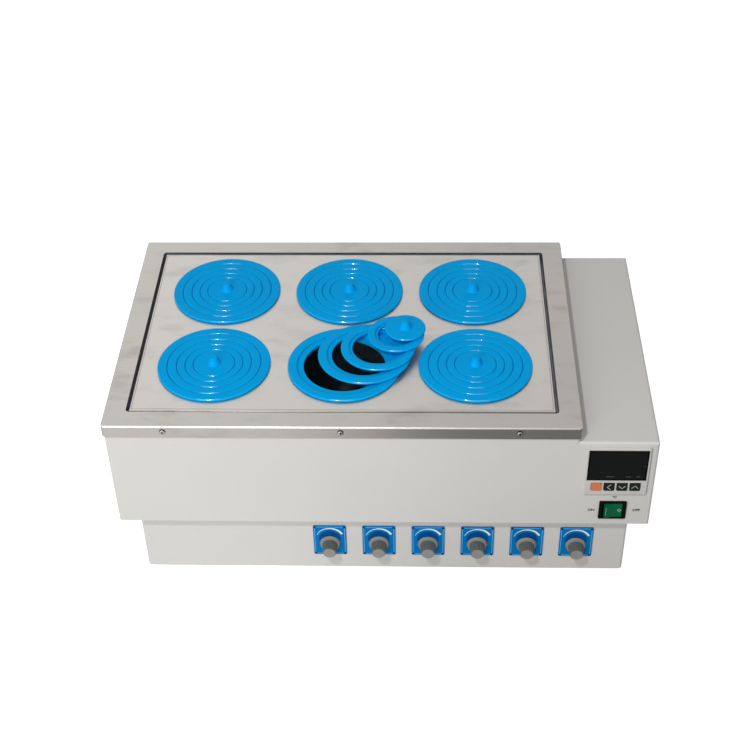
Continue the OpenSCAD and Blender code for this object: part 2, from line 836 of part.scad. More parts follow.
module controller_case() {
    zc = z_body + control_z;
    bezel = [-bezel_w / 2, -bezel_w / 2, bezel_w / 2, bezel_w / 2];
    key_room = key_depth + key_travel + 0.2;
    color("silver")
    difference() {
        union() {
            translate([control_mid, 0, zc])
                rotate([90, 0, 0]) folded_box(bezel, edge_r, bezel_edge_r, 0, bezel_t);
            panel_block(case_w, case_w, control_mid, zc, -eps, control_depth);
        }
        panel_block(window_w + 0.2, window_h + 0.2, control_mid, window_z, -bezel_t - 1, window_t - bezel_t);
        for (i = [0:3]) {
            panel_block(key_w + 2 * key_gap, key_h + 2 * key_gap, key_at(i), key_z,
                        -bezel_t - 1, key_room - bezel_t);
        }
    }
}

module display_window() {
    color("black") panel_block(window_w, window_h, control_mid, window_z, -bezel_t, window_t - bezel_t);
}

module panel_key(i) {
    key = [-key_w / 2, -key_h / 2, key_w / 2, key_h / 2];
    color(i == 0 ? "coral" : "darkslategray")
    translate([key_at(i), key_depth - bezel_t, key_z])
        rotate([90, 0, 0]) linear_extrude(key_depth + key_out) plan(key, 1.5);
}

module switch_body() {
    zs = z_body + switch_z;
    frame = [-switch_w / 2, -switch_h / 2, switch_w / 2, switch_h / 2];
    room_w = rocker_w + 2 * rocker_gap + 2.4;
    room_h = rocker_h + 2 * rocker_gap;
    color("black")
    difference() {
        union() {
            translate([control_mid, 0, zs]) rotate([90, 0, 0]) linear_extrude(switch_t) plan(frame, 1.5);
            panel_block(switch_body_w, switch_body_h, control_mid, zs, -eps, switch_depth);
        }
        panel_block(room_w, room_h, control_mid, zs, -switch_t - 1, rocker_axis_y + rocker_pin_d + 2);
        translate([control_mid, rocker_axis_y, zs - rocker_h / 2 - rocker_pin_len - rocker_gap])
            cylinder(d = rocker_pin_d + 0.2, h = rocker_h + 2 * rocker_pin_len + 2 * rocker_gap);
    }
}

// Rocker with its right end pressed in, on two short pins along Z
module power_rocker() {
    half = rocker_w / 2;
    end_y = -rocker_axis_y - switch_t - 1.2;
    dip = 1.3;
    pin_len = rocker_h + 2 * rocker_pin_len;
    section = [[-half, end_y], [0, end_y + dip], [half, end_y], [half, -1], [rocker_pin_d, rocker_pin_d],
               [-rocker_pin_d, rocker_pin_d], [-half, -1]];
    color("seagreen")
    translate([control_mid, rocker_axis_y, z_body + switch_z])
    rotate([0, 0, rocker_swing / 2]) {
        translate([0, 0, -rocker_h / 2]) linear_extrude(rocker_h) polygon(section);
        translate([0, 0, -pin_len / 2]) cylinder(d = rocker_pin_d, h = pin_len);
    }
}

// Appliance inlet in the back of the control box, with three flat pins
module power_inlet() {
    zi = z_body + inlet_z;
    flange = [-inlet_w / 2, -inlet_h / 2, inlet_w / 2, inlet_h / 2];
    flange_t = 2;
    wall = 2;
    pin_w = 2;
    pin_len = 13;
    pin_h = 4;
    pin_pitch = 7;
    pin_rise = 2;
    screw_hole_d = 3.4;
    floor_y = housing_d + flange_t - socket_depth;
    color("black")
    union() {
        difference() {
            union() {
                translate([control_mid, housing_d + flange_t, zi])
                    rotate([90, 0, 0]) linear_extrude(flange_t) plan(flange, 3);
                panel_block(socket_w + 2 * wall, socket_h + 2 * wall, control_mid, zi,
                            floor_y - wall, housing_d + eps);
            }
            panel_block(socket_w, socket_h, control_mid, zi, floor_y, housing_d + flange_t + 1);
            for (s = [-1, 1]) {
                along_y(screw_hole_d, control_mid + s * inlet_screw_pitch / 2, zi,
                        housing_d - 1, housing_d + flange_t + 1);
            }
        }
        for (i = [-1:1]) {
            panel_block(pin_w, pin_h, control_mid + i * pin_pitch, zi + (i == 0 ? pin_rise : 0),
                        floor_y - eps, floor_y + pin_len);
        }
    }
}

module lid_plate() {
    gap = [lid_gap_x, lid_gap_y, -lid_gap_x, -lid_gap_y];
    plate = opening + gap;
    color("lightgray")
    difference() {
        folded_box(plate, opening_r, lid_fold_r, z_ledge, z_lid);
        folded_box(grow(plate, -lid_t), opening_r - lid_t, lid_fold_r - lid_t, z_ledge - 1, z_lid - lid_t);
        for (p = places) {
            translate(concat(place_at(p), z_ledge - 1))
                cylinder(r = place_hole_r + ring_gap, h = z_lid - z_ledge + 2, $fn = 96);
        }
    }
}

// Section of a flat rim between two radii, its top at zero, its inner edge and its outer edge rounded
module rim_section(r_in, r_out, t, outer_r) {
    e = lid_round;
    middle_out = r_out - outer_r;
    intersection() {
        translate([r_in, -t]) square([r_out - r_in, t]);
        union() {
            translate([r_in, -t]) square([middle_out - r_in, t - e]);
            translate([r_in + e, -t]) square([middle_out - r_in - e, t]);
            translate([r_in + e, -e]) circle(e);
            translate([middle_out, -outer_r]) circle(outer_r);
        }
    }
}

// Ring k of a nest, from 0 outside: a rim, the ledge for the next ring and the spigot under it
module nest_ring(k) {
    rim_t_k = k == 0 ? outer_rim_t : ring_t;
    outer_r = k == 0 ? outer_rim_t / 2 : lid_round;
    spigot_r = (k == 0 ? place_hole_r : bore_r[k - 1]) - (k == 0 ? 0 : ring_gap);
    rotate_extrude($fn = 96) {
        rim_section(ring_r[k + 1] + ring_gap, ring_r[k], rim_t_k, outer_r);
        if (k > 0) translate([ring_r[k] - outer_r, -rim_t_k]) square([outer_r, rim_t_k - outer_r]);
        translate([bore_r[k], -rim_t_k - spigot_h])
            square([spigot_r - bore_r[k], rim_t_k + spigot_h - ring_t]);
    }
}

// Middle cap with a knob in the form of a low cone with a rounded top
module nest_cap() {
    e = lid_round;
    top_r = cap_knob_d / 2;
    round_r = cap_knob_d / 5;
    flank_z = cap_knob_h - round_r;
    rotate_extrude($fn = 96) {
        intersection() {
            translate([0, -ring_t]) square([cap_r, ring_t]);
            union() {
                translate([0, -ring_t]) square([cap_r, ring_t - e]);
                translate([0, -ring_t]) square([cap_r - e, ring_t]);
                translate([cap_r - e, -e]) circle(e);
            }
        }
        translate([0, -ring_t - spigot_h]) square([bore_r[3] - ring_gap, spigot_h]);
        polygon([[0, -e], [cap_foot_d / 2, -e], [cap_foot_d / 2, 0], [top_r, flank_z], [0, flank_z]]);
        translate([0, flank_z - e]) square([top_r - round_r, round_r + e]);
        translate([top_r - round_r, flank_z]) circle(round_r);
    }
}

module lid_ring(p, k) {
    color("deepskyblue") translate(nest_at(p, k)) nest_ring(k);
}

module lid_cap(p) {
    color("deepskyblue") translate(nest_at(p, 4)) nest_cap();
}

translate(-origin) {
    upper_housing();
    base_housing();
    bottom_plate();
    rubber_feet();
    rim_frame();
    rim_screws();
    tank_plates();
    tank_walls();
    tank_insulation();
    heater_and_probe();
    stirring_coils();
    drain_outlet();
    dial_plates();
    speed_controls();
    controller_case();
    display_window();
    switch_body();
    power_inlet();
    lid_plate();
    power_rocker();
    for (p = places) {
        for (k = [1:4]) {
            lid_ring(p, k - 1);
        }
        lid_cap(p);
    }
    for (n = [1:dial_count]) {
        speed_knob(n);
    }
    for (i = [0:3]) {
        panel_key(i);
    }
}
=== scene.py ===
"""Six-place laboratory water bath with stirring: finishes, print and small fittings round its solids."""

import json
import math

import bpy
from mathutils import Matrix, Vector


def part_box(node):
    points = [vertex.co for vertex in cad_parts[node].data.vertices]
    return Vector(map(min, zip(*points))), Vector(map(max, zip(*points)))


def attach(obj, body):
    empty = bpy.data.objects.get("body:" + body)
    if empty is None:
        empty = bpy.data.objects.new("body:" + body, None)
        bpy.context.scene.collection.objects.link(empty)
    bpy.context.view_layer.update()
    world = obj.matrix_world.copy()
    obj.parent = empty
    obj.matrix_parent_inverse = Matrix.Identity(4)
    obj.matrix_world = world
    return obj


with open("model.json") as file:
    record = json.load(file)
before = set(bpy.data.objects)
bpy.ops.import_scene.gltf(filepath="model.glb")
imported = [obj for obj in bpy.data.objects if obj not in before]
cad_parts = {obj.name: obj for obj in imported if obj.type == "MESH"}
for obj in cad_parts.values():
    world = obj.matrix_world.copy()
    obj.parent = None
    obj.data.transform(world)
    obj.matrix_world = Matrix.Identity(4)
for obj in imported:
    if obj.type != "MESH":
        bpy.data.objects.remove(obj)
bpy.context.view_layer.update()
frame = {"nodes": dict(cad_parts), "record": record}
nodes = frame["nodes"]
bpy.ops.object.select_all(action="DESELECT")

MM = 0.001
DIALS = [1, 2, 3, 4, 5, 6]
PRINT_T = 0.08 * MM


class Socket:
    """An output in a material; an expression on it adds Math nodes."""

    def __init__(self, finish, output):
        self.finish = finish
        self.output = output

    def maths(self, operation, first, second=0.0):
        return self.finish.node("ShaderNodeMath", [0], {"operation": operation}, {0: first, 1: second})

    def __add__(self, other):
        return self.maths("ADD", self, other)

    def __sub__(self, other):
        return self.maths("SUBTRACT", self, other)

    def __rsub__(self, other):
        return self.maths("SUBTRACT", other, self)

    def __mul__(self, other):
        return self.maths("MULTIPLY", self, other)

    def __truediv__(self, other):
        return self.maths("DIVIDE", self, other)

    def __pow__(self, other):
        return self.maths("POWER", self, other)

    def __mod__(self, other):
        return self.maths("FLOORED_MODULO", self, other)

    def __abs__(self):
        return self.maths("ABSOLUTE", self)

    def __lt__(self, other):
        return self.maths("LESS_THAN", self, other)

    def __gt__(self, other):
        return self.maths("GREATER_THAN", self, other)

    def larger(self, other):
        return self.maths("MAXIMUM", self, other)

    __radd__ = __add__
    __rmul__ = __mul__


class Finish:
    """A procedural material whose patterns lie in the object's own coordinates."""

    def __init__(self, name):
        self.material = bpy.data.materials.new(name)
        self.material.use_nodes = True
        self.tree = self.material.node_tree
        self.shader = self.tree.nodes["Principled BSDF"]
        self.place = self.node("ShaderNodeTexCoord", ["Object"])

    def node(self, kind, outputs, settings=None, inputs=None):
        """Adds a node: its settings first, then its sockets. Gives the outputs asked for."""
        made = self.tree.nodes.new(kind)
        for name, value in (settings or {}).items():
            setattr(made, name, value)
        for name, value in (inputs or {}).items():
            self.feed(made.inputs[name], value)
        found = [Socket(self, made.outputs[name]) for name in outputs]
        return found[0] if len(found) == 1 else found

    def feed(self, socket, value):
        if isinstance(value, Socket):
            self.tree.links.new(value.output, socket)
        else:
            socket.default_value = value

    def axes(self):
        return self.node("ShaderNodeSeparateXYZ", ["X", "Y", "Z"], inputs={"Vector": self.place})

    def noise(self, scale, detail=2.0, stretch=(1, 1, 1)):
        """Noise with about scale blotches in a metre, drawn out by stretch."""
        place = self.node("ShaderNodeMapping", ["Vector"], inputs={"Vector": self.place, "Scale": stretch})
        return self.node("ShaderNodeTexNoise", [0], {},
                         {"Vector": place, "Scale": scale, "Detail": detail, "Roughness": 0.55})

    def ramp(self, value, low, high):
        """0 under low, 1 over high, and smooth between them."""
        return self.node("ShaderNodeMapRange", [0], {"interpolation_type": "SMOOTHSTEP"},
                         {"Value": value, "From Min": low, "From Max": high})

    def mix(self, factor, first, second):
        """Blend of two colours."""
        return self.node("ShaderNodeMix", [2], {"data_type": "RGBA"}, {0: factor, 6: first, 7: second})

    def bump(self, height, strength, distance):
        return self.node("ShaderNodeBump", ["Normal"], {},
                         {"Height": height, "Strength": strength, "Distance": distance})

    def surface(self, **inputs):
        """Feeds the shader's sockets; an underscore stands for a blank in a socket's name."""
        for name, value in inputs.items():
            self.feed(self.shader.inputs[name.replace("_", " ")], value)
        return self


def shade(red, green, blue):
    """Linear colour from the usual 0 to 255 steps."""
    levels = [c / 255 for c in (red, green, blue)]
    return [c / 12.92 if c < 0.04 else ((c + 0.055) / 1.055) ** 2.4 for c in levels] + [1.0]


def dimmed(colour, by):
    return [c * by for c in colour[:3]] + [1.0]


# Finishes


def powder_paint(name, colour):
    """Off-white powder paint: fine orange peel, faint clouds and a few specks."""
    paint = Finish(name)
    clouds = paint.noise(7, 3)
    peel = paint.noise(620, 1.5)
    specks = paint.ramp(paint.noise(260, 3), 0.68, 0.8)
    tone = paint.mix(clouds, dimmed(colour, 0.97), dimmed(colour, 1.03))
    tone = paint.mix(specks * 0.08, tone, dimmed(colour, 0.6))
    return paint.surface(Base_Color=tone, Roughness=0.40 + peel * 0.12,
                         Specular_IOR_Level=0.4, Normal=paint.bump(peel, 0.10, 0.0004))


def brushed_steel(name, colour, grain, smudge=0.5, rough=0.30, span=None, painted_right_shade=1.0, fold=None):
    """Stainless sheet: fine brush lines drawn out by grain, cloudy smudges and a few scratches.

    A sheet that fills the box span is painted darker towards its right: painted shade for the dimmer light
    and reflections on that side. With a fold, painted shadow darkens it under that depth, and a faint painted
    shade line along its edges stands for the start of the bend.
    """
    steel = Finish(name)
    lines = steel.noise(1, 3, grain)
    clouds = steel.noise(9, 4)
    wiped = steel.ramp(steel.noise(24, 5, (0.6, 1.3, 1.0)), 0.48, 0.72) * smudge
    scratch = steel.ramp(steel.noise(1, 2, [g * 0.35 for g in grain]), 0.66, 0.70)

    def tones(level):
        tone = steel.mix(clouds, dimmed(colour, 0.94 * level), dimmed(colour, 1.05 * level))
        tone = steel.mix(lines * 0.25, tone, dimmed(colour, 0.82 * level))
        return steel.mix(wiped * 0.5, tone, dimmed(colour, 0.62 * level))

    tone = tones(1.0)
    if span:
        low, high = span
        across, along, height = steel.axes()
        # Painted shade: the sheet is darker towards its right, for the dimmer light and reflections on that
        # side.
        tone = steel.mix(steel.ramp(across, low.x, high.x), tone, tones(painted_right_shade))
        if fold:
            crease_in = 3.0 * MM
            crease_w = 0.9 * MM
            mid = (low + high) / 2
            half = (high - low) / 2
            past_edge = (abs(across - mid.x) - half.x).larger(abs(along - mid.y) - half.y)
            # Painted shade: a faint dark band 3 mm in from the edges, for the start of the fold's bend.
            crease = (past_edge > -crease_in - crease_w) * (past_edge < -crease_in)
            tone = steel.mix(crease * 0.65, tone, dimmed(colour, 0.3))
            # Painted shadow: dark under the fold depth, for the shaded gap round the sheet.
            shadow = steel.ramp(high.z - height, fold * 0.4, fold)
            tone = steel.mix(shadow * 0.85, tone, dimmed(colour, 0.06))
    return steel.surface(Base_Color=tone, Metallic=1.0,
                         Roughness=rough + lines * 0.10 + wiped * 0.16 - scratch * 0.05,
                         Normal=steel.bump(lines + scratch * 0.5, 0.06, 0.0002))


def moulded(name, colour, rough=0.45, grain=1800, depth=0.08, gloss=0.4):
    """Moulded plastic or rubber: fine eroded texture with a slight unevenness of tone and gloss."""
    plastic = Finish(name)
    texture = plastic.noise(grain, 2)
    clouds = plastic.noise(35, 3)
    dust = plastic.ramp(plastic.noise(420, 3), 0.66, 0.82)
    tone = plastic.mix(clouds, dimmed(colour, 0.93), dimmed(colour, 1.06))
    tone = plastic.mix(dust * 0.06, tone, (0.6, 0.6, 0.58, 1))
    return plastic.surface(Base_Color=tone, Roughness=rough + texture * 0.10 + dust * 0.08,
                           Specular_IOR_Level=gloss, Normal=plastic.bump(texture, depth, 0.0002))


def ring_plastic(name, colour, top, centre, pitch):
    """Blue lids: a satin flat top, and a glossy coat on the edges only at the front and the back: a placed
    highlight, there so that the key lamp's glints show and the side grooves stay dark.

    The lids lie round centre, and again every pitch across and along.
    """
    edge_from = 0.2 * MM
    edge_to = 0.8 * MM
    glint_sector = 0.2
    plastic = Finish(name)
    across, along, height = plastic.axes()
    depth = top - height
    side = abs(((across - centre.x + pitch.x / 2) % pitch.x) - pitch.x / 2)
    reach = abs(((along - centre.y + pitch.y / 2) % pitch.y) - pitch.y / 2)
    # Placed highlight: the coat sits only on the front and back edges of each lid, where the key lamp's
    # glints show, so that the side grooves stay dark.
    glint_coat = (depth > edge_from) * (depth < edge_to) * (side < reach * glint_sector)
    clouds = plastic.noise(26, 3)
    texture = plastic.noise(900, 2)
    handled = plastic.ramp(plastic.noise(60, 4), 0.5, 0.75)
    tone = plastic.mix(clouds, dimmed(colour, 0.95), dimmed(colour, 1.05))
    return plastic.surface(Base_Color=tone, Roughness=0.30 + texture * 0.08 + handled * 0.10,
                           Specular_IOR_Level=0.04, Coat_Weight=glint_coat, Coat_IOR=2.0, Coat_Roughness=0.12,
                           Normal=plastic.bump(texture, 0.03, 0.0002))


def knob_plastic(name, node):
    """Speed knob: pale glossy skirt, darker ribbed grip and a light disc let into its front."""
    disc_t = 0.7 * MM
    grip_l = 13.8 * MM
    knob = Finish(name)
    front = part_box(node)[0].y
    along = knob.axes()[1]
    disc = along < front + disc_t
    skirt = along > front + grip_l
    texture = knob.noise(1500, 2)
    clouds = knob.noise(60, 3)
    grip = knob.mix(clouds, shade(86, 90, 83), shade(106, 110, 103))
    tone = knob.mix(disc, grip, shade(145, 144, 139))
    tone = knob.mix(skirt, tone, shade(144, 146, 140))
    return knob.surface(Base_Color=tone, Roughness=0.34 + texture * 0.1 - skirt * 0.14,
                        Specular_IOR_Level=0.45, Normal=knob.bump(texture, 0.06, 0.0002))


def screw_heads(name, node):
    """Three pan-head screws in a row: on each head, painted shade of a cross recess and a painted shadow ring
    round it.
    """
    slot_half = 0.6 * MM
    slot_reach = 2.3 * MM
    shadow_ring_r = 3.0 * MM
    steel = Finish(name)
    low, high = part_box(node)
    half = (high.z - low.z) / 2
    pitch = (high.x - low.x) / 2 - half
    across, _, height = steel.axes()
    side = ((across - low.x - half + pitch / 2) % pitch) - pitch / 2
    rise = height - (low.z + half)
    radius = (side * side + rise * rise) ** 0.5
    # Painted shade: a dark cross for the shade in a cross recess, and a dark ring round each head for the
    # shadow there.
    cross = (abs(side) < slot_half).larger(abs(rise) < slot_half) * (radius < slot_reach)
    dark = cross.larger(radius > shadow_ring_r)
    tone = steel.mix(steel.noise(300, 3), shade(206, 204, 200), shade(222, 220, 216))
    return steel.surface(Base_Color=steel.mix(dark, tone, shade(20, 20, 20)), Metallic=1.0,
                         Roughness=0.18 + dark * 0.4)


def zinc_sheet(name):
    """Galvanised sheet with its crystal flakes."""
    zinc = Finish(name)
    flakes = zinc.node("ShaderNodeTexVoronoi", ["Color"], {},
                       {"Vector": zinc.place, "Scale": 70.0, "Randomness": 1.0})
    level = zinc.node("ShaderNodeRGBToBW", ["Val"], {}, {"Color": flakes})
    tone = zinc.mix(level, shade(150, 153, 156), shade(196, 198, 199))
    return zinc.surface(Base_Color=tone, Metallic=0.9, Roughness=0.38 + level * 0.2,
                        Normal=zinc.bump(zinc.noise(300, 3), 0.05, 0.0003))


def mineral_wool(name):
    """Yellow insulation felt with matted fibres."""
    wool = Finish(name)
    fibres = wool.noise(1, 4, (900, 240, 700))
    clumps = wool.noise(60, 4)
    tone = wool.mix(fibres * 0.6 + clumps * 0.4, shade(168, 142, 80), shade(224, 203, 140))
    return wool.surface(Base_Color=tone, Roughness=0.95, Specular_IOR_Level=0.1,
                        Normal=wool.bump(fibres + clumps, 0.6, 0.002))


def wound_coils(name):
    """Coil packs: copper wire turns over a darkened iron yoke."""
    winding_h = 26 * MM
    wire_d = 0.9 * MM
    coil = Finish(name)
    height = coil.axes()[2]
    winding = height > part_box("stirring_coils")[1].z - winding_h
    turns = abs(((height / wire_d) % 1.0) - 0.5) * 2
    wire = coil.mix(turns, shade(120, 62, 30), shade(196, 120, 66))
    iron = coil.mix(coil.noise(90, 4), shade(58, 58, 60), shade(92, 92, 94))
    return coil.surface(Base_Color=coil.mix(winding, iron, wire), Metallic=0.85,
                        Roughness=0.38 + turns * 0.15, Normal=coil.bump(turns * winding, 0.3, 0.0004))


def heated_steel(name):
    """Heating tube with straw and violet tints from its own heat."""
    tube = Finish(name)
    clouds = tube.noise(30, 4)
    scale = tube.ramp(tube.noise(140, 5), 0.55, 0.8)
    tone = tube.mix(clouds, shade(122, 110, 96), shade(96, 92, 102))
    tone = tube.mix(scale * 0.6, tone, shade(196, 190, 178))
    return tube.surface(Base_Color=tone, Metallic=0.9, Roughness=0.34 + scale * 0.3,
                        Normal=tube.bump(scale, 0.2, 0.0003))


def glossy_dial_plate(name, plate, spindles, pitch):
    """Blue dial plates: glossy print, with a darker disc above each spindle inside its arc that is painted
    reflection and shade of the dark knob.
    """
    knob_reflection_rise = 8 * MM
    knob_reflection_inner = 11.5 * MM
    knob_reflection_outer = 14.5 * MM
    dial = Finish(name)
    across, _, height = dial.axes()
    local = abs(((across - spindles[0].x + pitch / 2) % pitch) - pitch / 2)
    drop = height - (spindles[0].z + knob_reflection_rise)
    radius = (local * local + drop * drop) ** 0.5
    # Painted reflection and shade: a darker disc inside each arc, above the spindle, for the dark knob seen
    # in the glossy plate.
    disc = 1 - dial.ramp(radius, knob_reflection_inner, knob_reflection_outer)
    clouds = dial.noise(55, 3)
    tone = dial.mix(clouds, dimmed(plate, 0.95), dimmed(plate, 1.05))
    tone = dial.mix(disc * 0.8, tone, shade(0, 58, 122))
    return dial.surface(Base_Color=tone, Roughness=0.34 + clouds * 0.1, Specular_IOR_Level=0.06,
                        Normal=dial.bump(dial.noise(900, 2), 0.04, 0.0002))


def dark_window(name):
    """Smoked display window with a black mask round its edge."""
    glass = Finish(name)
    low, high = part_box("display_window")
    centre = (low + high) / 2
    half = (high - low) / 2
    mask = 2.0 * MM
    across, _, height = glass.axes()
    side = abs(across - centre.x) > half.x - mask
    top = abs(height - centre.z) > half.z - mask
    edge = side.larger(top)
    clouds = glass.noise(20, 2)
    tone = glass.mix(clouds, shade(20, 22, 21), shade(26, 28, 27))
    tone = glass.mix(edge, tone, shade(5, 5, 5))
    return glass.surface(Base_Color=tone, Roughness=0.16 + edge * 0.12 + clouds * 0.04,
                         Specular_IOR_Level=0.08)


def print_ink(name, colour):
    """Screen-printed ink with a slightly broken edge tone."""
    ink = Finish(name)
    tone = ink.mix(ink.noise(700, 2), dimmed(colour, 0.92), dimmed(colour, 1.05))
    return ink.surface(Base_Color=tone, Roughness=0.5 + ink.noise(300, 2) * 0.1, Specular_IOR_Level=0.3)


def middle(node):
    low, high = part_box(node)
    return (low + high) / 2


spindles = [middle(f"speed_knob_{n}") for n in DIALS]
dial_pitch = spindles[1].x - spindles[0].x

lengthwise = (6, 1500, 1500)
finishes = {
    "housing_paint": powder_paint("housing_paint", shade(213, 211, 207)),
    "stainless": brushed_steel("stainless", shade(207, 203, 198), lengthwise, 0.7, 0.30,
                               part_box("lid_plate"), 0.83, 0.45 * MM),
    "zinc_sheet": zinc_sheet("zinc_sheet"),
    "foot_rubber": moulded("foot_rubber", shade(38, 38, 38), 0.7, 900, 0.15, 0.2),
    "screw_steel": brushed_steel("screw_steel", shade(196, 194, 190), (900, 900, 900), 0.3, 0.16),
    "mineral_wool": mineral_wool("mineral_wool"),
    "heater_steel": heated_steel("heater_steel"),
    "coil_iron": wound_coils("coil_iron"),
    "dial_blue": glossy_dial_plate("dial_blue", shade(0, 118, 188), spindles, dial_pitch),
    "knob_grey": knob_plastic("knob_grey", "speed_knob_1"),
    "inner_black": moulded("inner_black", shade(30, 30, 32), 0.5),
    "bezel_grey": moulded("bezel_grey", shade(204, 203, 199), 0.42, 2200, 0.08, 0.35),
    "window_black": dark_window("window_black"),
    "key_orange": moulded("key_orange", shade(216, 122, 82), 0.5, 1600, 0.06, 0.3),
    "key_dark": moulded("key_dark", shade(30, 36, 31), 0.45, 1600, 0.06, 0.12),
    "switch_black": moulded("switch_black", shade(10, 10, 10), 0.3, 1700, 0.06, 0.1),
    "rocker_green": moulded("rocker_green", shade(0, 100, 62), 0.22, 900, 0.03, 0.15),
    "inlet_black": moulded("inlet_black", shade(24, 24, 25), 0.45, 1700, 0.08, 0.35),
}
inks = {
    "white": print_ink("white_ink", shade(238, 244, 248)),
    "pale": print_ink("pale_ink", shade(112, 194, 234)),
    "dark": print_ink("dark_ink", shade(34, 34, 36)),
    "grey": print_ink("grey_ink", shade(178, 184, 178)),
    "dim": print_ink("dim_ink", shade(74, 78, 74)),
    "mint": print_ink("mint_ink", shade(116, 186, 146)),
}
rim_steel = brushed_steel("rim_steel", shade(196, 192, 186), lengthwise, 1.0, 0.26,
                          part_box("rim_frame"), 0.77)
rim_screw_steel = screw_heads("rim_screw_steel", "rim_screws")
tank_steel = brushed_steel("tank_steel", shade(172, 178, 185), lengthwise, 0.8, 0.42)
corner_steel = brushed_steel("corner_steel", shade(58, 62, 70), (900, 900, 900), 0.3, 0.34)

lid_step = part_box("front_middle_ring_3")[1].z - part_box("front_middle_ring_2")[1].z
nest_pitch = middle("back_right_cap") - middle("front_left_cap")
nest_pitch.x /= 2


def lid_finish(node):
    """Blue plastic for a ring or a cap; lids whose tops are level share it."""
    low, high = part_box(node)
    top = low.z + lid_step if node.endswith("cap") else high.z
    name = f"lid_blue_{round(top / MM)}"
    if name not in finishes:
        finishes[name] = ring_plastic(name, shade(0, 168, 236), top, middle(node), nest_pitch)
    return finishes[name]


for part in frame["record"]["subparts"]:
    node, slot = part["node"], part["material_slot"]
    if slot == "lid_blue":
        finish = lid_finish(node)
    elif node == "rim_frame":
        finish = rim_steel
    elif node == "rim_screws":
        finish = rim_screw_steel
    elif slot == "stainless" and node.startswith("tank_"):
        finish = tank_steel
    else:
        finish = finishes[slot]
    skins = nodes[node].data.materials
    skins.clear()
    skins.append(finish.material)


# Small fittings and print


def begin(name):
    """Names the primitive that was just added, and opens it for editing."""
    piece = bpy.context.object
    piece.name = name
    piece.data.name = name
    bpy.ops.object.mode_set(mode="EDIT")
    return piece


def finish_shape(piece):
    bpy.ops.object.mode_set(mode="OBJECT")
    bpy.ops.object.transform_apply(location=True, rotation=True, scale=True)
    bpy.ops.object.shade_smooth_by_angle(angle=math.radians(35))
    return piece


def settle(piece, body, finish):
    """Gives a finished piece its material and its body."""
    piece.data.materials.clear()
    piece.data.materials.append(finish.material)
    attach(piece, body)
    piece.select_set(False)


def copy_to(piece, name, places):
    """Sets copies of a piece at places and joins them into one; the piece itself goes."""
    bpy.ops.object.select_all(action="DESELECT")
    made = []
    for place in places:
        twin = piece.copy()
        twin.data = piece.data.copy()
        bpy.context.collection.objects.link(twin)
        twin.location = place
        made.append(twin)
    bpy.data.objects.remove(piece)
    for twin in made:
        twin.select_set(True)
    bpy.context.view_layer.objects.active = made[0]
    bpy.ops.object.join()
    bpy.ops.object.transform_apply(location=True, rotation=True, scale=True)
    joined = bpy.context.object
    joined.name = name
    joined.data.name = name
    return joined


def speed_arc():
    """White arc that grows from a thin start on the left to a thick end on the right."""
    outer = 16.6 * MM
    inner = 15.1 * MM
    shift = 1.1 * MM
    start, end = math.radians(163), math.radians(24)
    bpy.ops.mesh.primitive_circle_add(vertices=128, radius=outer, rotation=(math.pi / 2, 0, 0))
    arc = begin("speed_arc")
    bpy.ops.mesh.primitive_circle_add(vertices=128, radius=inner, location=(-shift, 0, 0),
                                      rotation=(math.pi / 2, 0, 0))
    bpy.ops.mesh.select_all(action="SELECT")
    bpy.ops.mesh.bridge_edge_loops()
    bpy.ops.mesh.select_all(action="SELECT")
    bpy.ops.mesh.bisect(plane_co=(0, 0, 0), plane_no=(-math.sin(end), 0, math.cos(end)), clear_inner=True)
    bpy.ops.mesh.select_all(action="SELECT")
    bpy.ops.mesh.bisect(plane_co=(0, 0, 0), plane_no=(math.sin(start), 0, -math.cos(start)), clear_inner=True)
    bpy.ops.mesh.select_all(action="SELECT")
    bpy.ops.mesh.extrude_region_move(TRANSFORM_OT_translate={"value": (0, -PRINT_T, 0)})
    bpy.ops.mesh.select_all(action="SELECT")
    bpy.ops.mesh.normals_make_consistent(inside=False)
    return finish_shape(arc)


def border_line(width, height):
    """Thin rounded frame line."""
    radius = 2.2 * MM
    line = 0.6 * MM
    bpy.ops.mesh.primitive_plane_add(size=1, rotation=(math.pi / 2, 0, 0))
    frame_line = bpy.context.object
    frame_line.scale = (width, height, 1)
    bpy.ops.object.transform_apply(location=True, rotation=True, scale=True)
    begin("border_line")
    bpy.ops.mesh.select_all(action="SELECT")
    bpy.ops.mesh.bevel(offset=radius, segments=6, affect="VERTICES")
    bpy.ops.mesh.select_all(action="SELECT")
    bpy.ops.mesh.inset(thickness=line)
    bpy.ops.mesh.delete(type="FACE")
    bpy.ops.mesh.select_all(action="SELECT")
    bpy.ops.mesh.extrude_region_move(TRANSFORM_OT_translate={"value": (0, -PRINT_T, 0)})
    bpy.ops.mesh.select_all(action="SELECT")
    bpy.ops.mesh.normals_make_consistent(inside=False)
    return finish_shape(frame_line)


def cross_screw(name, radius, height, towards):
    """Pan-head screw with a cross recess; towards is -1 for a head that faces the front, 1 for the back."""
    bpy.ops.mesh.primitive_cylinder_add(vertices=32, radius=radius, depth=height,
                                        location=(0, towards * height / 2, 0), rotation=(math.pi / 2, 0, 0))
    screw = begin(name)
    bpy.ops.mesh.select_all(action="DESELECT")
    bpy.ops.object.mode_set(mode="OBJECT")
    face_y = towards * height
    bpy.ops.object.transform_apply(location=True, rotation=True, scale=True)
    for edge in screw.data.edges:
        edge.select = all(abs(screw.data.vertices[v].co.y - face_y) < 1e-6 for v in edge.vertices)
    bpy.ops.object.mode_set(mode="EDIT")
    bpy.ops.mesh.select_mode(type="EDGE")
    bpy.ops.mesh.bevel(offset=height * 0.6, segments=5)
    bpy.ops.object.mode_set(mode="OBJECT")
    cut_cross(screw, radius, face_y)
    return finish_shape(screw)


